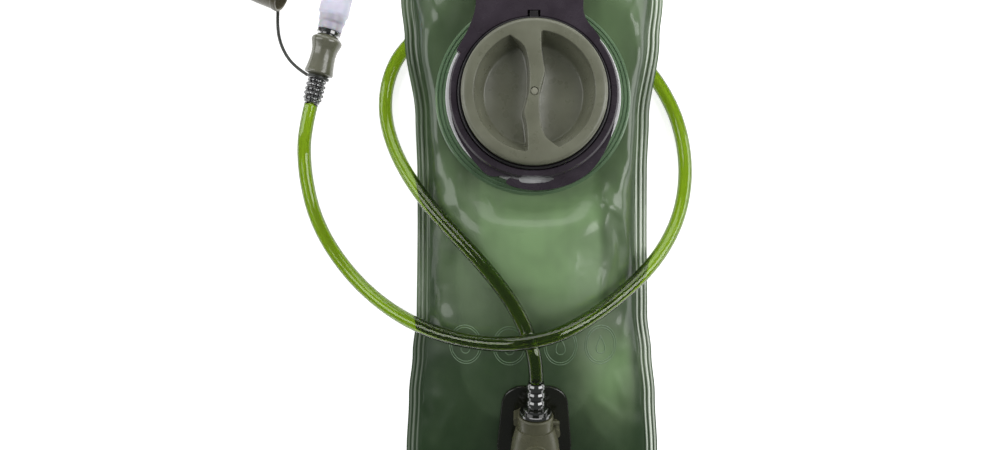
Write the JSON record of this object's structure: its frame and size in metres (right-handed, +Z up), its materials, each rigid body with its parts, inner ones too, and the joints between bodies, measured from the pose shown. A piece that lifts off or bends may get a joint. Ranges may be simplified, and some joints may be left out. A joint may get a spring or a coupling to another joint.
{
  "type": "hydration bladder",
  "caption": "Flat water bladder with a wide screw-cap filling port and grip, a plug-in drinking hose with latch button, a twist bite valve and a leashed dust cap.",
  "frame": {"origin": "on the floor below the middle of the bladder, which lies on its back", "axes": "+Y towards the filling end, +X towards the bladder's right edge, +Z up out of its front"},
  "size_m": [0.3053, 0.3501, 0.0724],
  "materials": {
    "film": "satin translucent film",
    "flange": "translucent moulded film",
    "clear_neck": "clear",
    "grip": "satin",
    "swivel": "satin",
    "cap": "fine satin",
    "cap_plug": "gloss",
    "seal": "matte",
    "outlet_plate": "smoky gloss",
    "socket": "satin",
    "button": "satin",
    "steel": "brushed",
    "plug": "gloss",
    "hose": "clear gloss tube",
    "sleeve": "satin",
    "silicone": "clear silicone"
  },
  "bodies": {
    "root": {"front_film": "film", "back_film": "film", "fill_flange": "flange", "fill_neck": "clear_neck", "grip_frame": "grip", "outlet_base": "outlet_plate", "outlet_backing_ring": "outlet_plate", "outlet_socket": "socket", "button_spring": "steel", "hose_plug": "plug", "plug_o_rings": "seal", "hose": "hose", "hose_sleeve": "sleeve", "valve_body": "socket"},
    "swivel": {"swivel_ring": "swivel"},
    "cap": {"fill_cap": "cap", "cap_centre_plug": "cap_plug", "cap_gasket": "seal"},
    "button": {"release_button": "button", "latch_plate": "steel"},
    "mouth_valve": {"valve_core": "plug", "core_o_ring": "seal", "bite_valve": "silicone"},
    "cover": {"dust_cap": "cap", "cap_leash": "sleeve", "leash_ring": "sleeve"}
  },
  "joints": [
    {"name": "cap_lift", "type": "slide", "parent": "root", "child": "swivel", "axis": [0, 0, 1], "range_m": [0, 0.024]},
    {"name": "cap_turn", "type": "hinge", "parent": "swivel", "child": "cap", "pos_m": [0, 0.0815, 0.055], "axis": [0, 0, 1], "range_deg": [0, 540]},
    {"name": "button_press", "type": "slide", "parent": "root", "child": "button", "axis": [0, 0.2924, -0.9563], "range_m": [0, 0.0015], "stiffness_N_per_m": 400, "deforming": ["button_spring"]},
    {"name": "valve_twist", "type": "hinge", "parent": "root", "child": "mouth_valve", "pos_m": [-0.13943, 0.11566, 0.0106], "axis": [0.2419, 0.9703, 0], "range_deg": [0, 90]},
    {"name": "dust_cap_swing", "type": "hinge", "parent": "root", "child": "cover", "pos_m": [-0.14299, 0.1014, 0.0106], "axis": [0.2419, 0.9703, 0], "range_deg": [0, 120]}
  ],
  "couplings": [
    {"joint": "cap_lift", "follows": "cap_turn", "m_per_rad": 0.0025465}
  ]
}
